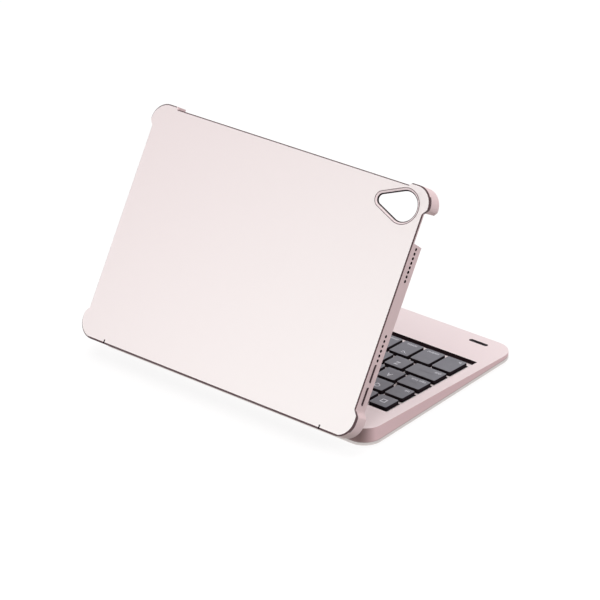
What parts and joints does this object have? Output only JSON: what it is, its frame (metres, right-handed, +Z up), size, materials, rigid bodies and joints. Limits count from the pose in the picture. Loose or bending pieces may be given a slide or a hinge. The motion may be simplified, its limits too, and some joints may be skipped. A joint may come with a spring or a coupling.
{
  "type": "tablet keyboard case",
  "caption": "Hard tablet case with a lid that clips round the tablet, hinged on a wedge keyboard with low separate keys.",
  "frame": {"origin": "middle of the whole case at the level of the surface it stands on, with the lid open as stored", "axes": "+X across the case to the user's right, +Y away from the user towards the hinge, +Z up"},
  "size_m": [0.2034, 0.1494, 0.1331],
  "materials": {
    "shell": "satin metallic rose paint on a hard polycarbonate shell",
    "trim": "satin rose paint, a darker shade on the edges and hinge",
    "keycap": "matt dark grey key caps with fine texture",
    "steel": "brushed steel",
    "silicone": "translucent pale silicone",
    "foot_rubber": "matt grey rubber",
    "battery_pouch": "silver foil pouch",
    "board": "green solder mask",
    "lens": "dark smoked acrylic"
  },
  "bodies": {
    "base": {"top_case": "shell", "bottom_cover": "trim", "key_plate": "steel", "dome_sheet": "silicone", "battery": "battery_pouch", "circuit_board": "board", "charge_port": "steel", "led_board": "board", "indicator_lens": "lens", "wake_magnets": "steel", "rubber_feet": "foot_rubber", "case_screws": "steel", "hinge_pins": "steel"},
    "lid": {"lid_shell": "shell", "hinge_barrel": "trim", "friction_sleeves": "steel"},
    "volume_up_button": {"volume_up_button": "trim"},
    "volume_down_button": {"volume_down_button": "trim"},
    "power_switch": {"power_switch": "trim"},
    "key_q": {"key_q": "keycap"},
    "key_w": {"key_w": "keycap"},
    "key_e": {"key_e": "keycap"},
    "key_r": {"key_r": "keycap"},
    "key_t": {"key_t": "keycap"},
    "key_y": {"key_y": "keycap"},
    "key_u": {"key_u": "keycap"},
    "key_i": {"key_i": "keycap"},
    "key_o": {"key_o": "keycap"},
    "key_p": {"key_p": "keycap"},
    "key_a": {"key_a": "keycap"},
    "key_s": {"key_s": "keycap"},
    "key_d": {"key_d": "keycap"},
    "key_f": {"key_f": "keycap"},
    "key_g": {"key_g": "keycap"},
    "key_h": {"key_h": "keycap"},
    "key_j": {"key_j": "keycap"},
    "key_k": {"key_k": "keycap"},
    "key_l": {"key_l": "keycap"},
    "key_z": {"key_z": "keycap"},
    "key_x": {"key_x": "keycap"},
    "key_c": {"key_c": "keycap"},
    "key_v": {"key_v": "keycap"},
    "key_b": {"key_b": "keycap"},
    "key_n": {"key_n": "keycap"},
    "key_m": {"key_m": "keycap"},
    "key_home": {"key_home": "keycap"},
    "key_tab": {"key_tab": "keycap"},
    "key_caps_lock": {"key_caps_lock": "keycap"},
    "key_left_shift": {"key_left_shift": "keycap"},
    "key_fn": {"key_fn": "keycap"},
    "key_control": {"key_control": "keycap"},
    "key_option": {"key_option": "keycap"},
    "left_command_key": {"left_command_key": "keycap"},
    "key_space": {"key_space": "keycap"},
    "key_enter": {"key_enter": "keycap"},
    "key_backspace": {"key_backspace": "keycap"},
    "digit_keys": {"digit_keys": "keycap"},
    "punctuation_keys": {"punctuation_keys": "keycap"},
    "right_modifier_keys": {"right_modifier_keys": "keycap"},
    "arrow_keys": {"arrow_keys": "keycap"}
  },
  "joints": [
    {"name": "lid_hinge", "type": "hinge", "parent": "base", "child": "lid", "pos_m": [0, 0.06325, 0.01108], "axis": [-1, 0, 0], "range_deg": [-60, 70]},
    {"name": "volume_up_button_press", "type": "slide", "parent": "lid", "child": "volume_up_button", "axis": [1, 0, 0], "range_m": [0, 0.0003], "stiffness_N_per_m": 3000},
    {"name": "volume_down_button_press", "type": "slide", "parent": "lid", "child": "volume_down_button", "axis": [1, 0, 0], "range_m": [0, 0.0003], "stiffness_N_per_m": 3000},
    {"name": "power_switch_slide", "type": "slide", "parent": "base", "child": "power_switch", "axis": [0, 1, 0], "range_m": [0, 0.002]},
    {"name": "key_q_press", "type": "slide", "parent": "base", "child": "key_q", "axis": [0, 0.0541, -0.9985], "range_m": [0, 0.0011], "stiffness_N_per_m": 500},
    {"name": "key_w_press", "type": "slide", "parent": "base", "child": "key_w", "axis": [0, 0.0541, -0.9985], "range_m": [0, 0.0011], "stiffness_N_per_m": 500},
    {"name": "key_e_press", "type": "slide", "parent": "base", "child": "key_e", "axis": [0, 0.0541, -0.9985], "range_m": [0, 0.0011], "stiffness_N_per_m": 500},
    {"name": "key_r_press", "type": "slide", "parent": "base", "child": "key_r", "axis": [0, 0.0541, -0.9985], "range_m": [0, 0.0011], "stiffness_N_per_m": 500},
    {"name": "key_t_press", "type": "slide", "parent": "base", "child": "key_t", "axis": [0, 0.0541, -0.9985], "range_m": [0, 0.0011], "stiffness_N_per_m": 500},
    {"name": "key_y_press", "type": "slide", "parent": "base", "child": "key_y", "axis": [0, 0.0541, -0.9985], "range_m": [0, 0.0011], "stiffness_N_per_m": 500},
    {"name": "key_u_press", "type": "slide", "parent": "base", "child": "key_u", "axis": [0, 0.0541, -0.9985], "range_m": [0, 0.0011], "stiffness_N_per_m": 500},
    {"name": "key_i_press", "type": "slide", "parent": "base", "child": "key_i", "axis": [0, 0.0541, -0.9985], "range_m": [0, 0.0011], "stiffness_N_per_m": 500},
    {"name": "key_o_press", "type": "slide", "parent": "base", "child": "key_o", "axis": [0, 0.0541, -0.9985], "range_m": [0, 0.0011], "stiffness_N_per_m": 500},
    {"name": "key_p_press", "type": "slide", "parent": "base", "child": "key_p", "axis": [0, 0.0541, -0.9985], "range_m": [0, 0.0011], "stiffness_N_per_m": 500},
    {"name": "key_a_press", "type": "slide", "parent": "base", "child": "key_a", "axis": [0, 0.0541, -0.9985], "range_m": [0, 0.0011], "stiffness_N_per_m": 500},
    {"name": "key_s_press", "type": "slide", "parent": "base", "child": "key_s", "axis": [0, 0.0541, -0.9985], "range_m": [0, 0.0011], "stiffness_N_per_m": 500},
    {"name": "key_d_press", "type": "slide", "parent": "base", "child": "key_d", "axis": [0, 0.0541, -0.9985], "range_m": [0, 0.0011], "stiffness_N_per_m": 500},
    {"name": "key_f_press", "type": "slide", "parent": "base", "child": "key_f", "axis": [0, 0.0541, -0.9985], "range_m": [0, 0.0011], "stiffness_N_per_m": 500},
    {"name": "key_g_press", "type": "slide", "parent": "base", "child": "key_g", "axis": [0, 0.0541, -0.9985], "range_m": [0, 0.0011], "stiffness_N_per_m": 500},
    {"name": "key_h_press", "type": "slide", "parent": "base", "child": "key_h", "axis": [0, 0.0541, -0.9985], "range_m": [0, 0.0011], "stiffness_N_per_m": 500},
    {"name": "key_j_press", "type": "slide", "parent": "base", "child": "key_j", "axis": [0, 0.0541, -0.9985], "range_m": [0, 0.0011], "stiffness_N_per_m": 500},
    {"name": "key_k_press", "type": "slide", "parent": "base", "child": "key_k", "axis": [0, 0.0541, -0.9985], "range_m": [0, 0.0011], "stiffness_N_per_m": 500},
    {"name": "key_l_press", "type": "slide", "parent": "base", "child": "key_l", "axis": [0, 0.0541, -0.9985], "range_m": [0, 0.0011], "stiffness_N_per_m": 500},
    {"name": "key_z_press", "type": "slide", "parent": "base", "child": "key_z", "axis": [0, 0.0541, -0.9985], "range_m": [0, 0.0011], "stiffness_N_per_m": 500},
    {"name": "key_x_press", "type": "slide", "parent": "base", "child": "key_x", "axis": [0, 0.0541, -0.9985], "range_m": [0, 0.0011], "stiffness_N_per_m": 500},
    {"name": "key_c_press", "type": "slide", "parent": "base", "child": "key_c", "axis": [0, 0.0541, -0.9985], "range_m": [0, 0.0011], "stiffness_N_per_m": 500},
    {"name": "key_v_press", "type": "slide", "parent": "base", "child": "key_v", "axis": [0, 0.0541, -0.9985], "range_m": [0, 0.0011], "stiffness_N_per_m": 500},
    {"name": "key_b_press", "type": "slide", "parent": "base", "child": "key_b", "axis": [0, 0.0541, -0.9985], "range_m": [0, 0.0011], "stiffness_N_per_m": 500},
    {"name": "key_n_press", "type": "slide", "parent": "base", "child": "key_n", "axis": [0, 0.0541, -0.9985], "range_m": [0, 0.0011], "stiffness_N_per_m": 500},
    {"name": "key_m_press", "type": "slide", "parent": "base", "child": "key_m", "axis": [0, 0.0541, -0.9985], "range_m": [0, 0.0011], "stiffness_N_per_m": 500},
    {"name": "key_home_press", "type": "slide", "parent": "base", "child": "key_home", "axis": [0, 0.0541, -0.9985], "range_m": [0, 0.0011], "stiffness_N_per_m": 500},
    {"name": "key_tab_press", "type": "slide", "parent": "base", "child": "key_tab", "axis": [0, 0.0541, -0.9985], "range_m": [0, 0.0011], "stiffness_N_per_m": 500},
    {"name": "key_caps_lock_press", "type": "slide", "parent": "base", "child": "key_caps_lock", "axis": [0, 0.0541, -0.9985], "range_m": [0, 0.0011], "stiffness_N_per_m": 500},
    {"name": "key_left_shift_press", "type": "slide", "parent": "base", "child": "key_left_shift", "axis": [0, 0.0541, -0.9985], "range_m": [0, 0.0011], "stiffness_N_per_m": 500},
    {"name": "key_fn_press", "type": "slide", "parent": "base", "child": "key_fn", "axis": [0, 0.0541, -0.9985], "range_m": [0, 0.0011], "stiffness_N_per_m": 500},
    {"name": "key_control_press", "type": "slide", "parent": "base", "child": "key_control", "axis": [0, 0.0541, -0.9985], "range_m": [0, 0.0011], "stiffness_N_per_m": 500},
    {"name": "key_option_press", "type": "slide", "parent": "base", "child": "key_option", "axis": [0, 0.0541, -0.9985], "range_m": [0, 0.0011], "stiffness_N_per_m": 500},
    {"name": "left_command_key_press", "type": "slide", "parent": "base", "child": "left_command_key", "axis": [0, 0.0541, -0.9985], "range_m": [0, 0.0011], "stiffness_N_per_m": 500},
    {"name": "key_space_press", "type": "slide", "parent": "base", "child": "key_space", "axis": [0, 0.0541, -0.9985], "range_m": [0, 0.0011], "stiffness_N_per_m": 500},
    {"name": "key_enter_press", "type": "slide", "parent": "base", "child": "key_enter", "axis": [0, 0.0541, -0.9985], "range_m": [0, 0.0011], "stiffness_N_per_m": 500},
    {"name": "key_backspace_press", "type": "slide", "parent": "base", "child": "key_backspace", "axis": [0, 0.0541, -0.9985], "range_m": [0, 0.0011], "stiffness_N_per_m": 500},
    {"name": "digit_keys_press", "type": "slide", "parent": "base", "child": "digit_keys", "axis": [0, 0.0541, -0.9985], "range_m": [0, 0.0011], "stiffness_N_per_m": 500},
    {"name": "punctuation_keys_press", "type": "slide", "parent": "base", "child": "punctuation_keys", "axis": [0, 0.0541, -0.9985], "range_m": [0, 0.0011], "stiffness_N_per_m": 500},
    {"name": "right_modifier_keys_press", "type": "slide", "parent": "base", "child": "right_modifier_keys", "axis": [0, 0.0541, -0.9985], "range_m": [0, 0.0011], "stiffness_N_per_m": 500},
    {"name": "arrow_keys_press", "type": "slide", "parent": "base", "child": "arrow_keys", "axis": [0, 0.0541, -0.9985], "range_m": [0, 0.0011], "stiffness_N_per_m": 500}
  ]
}
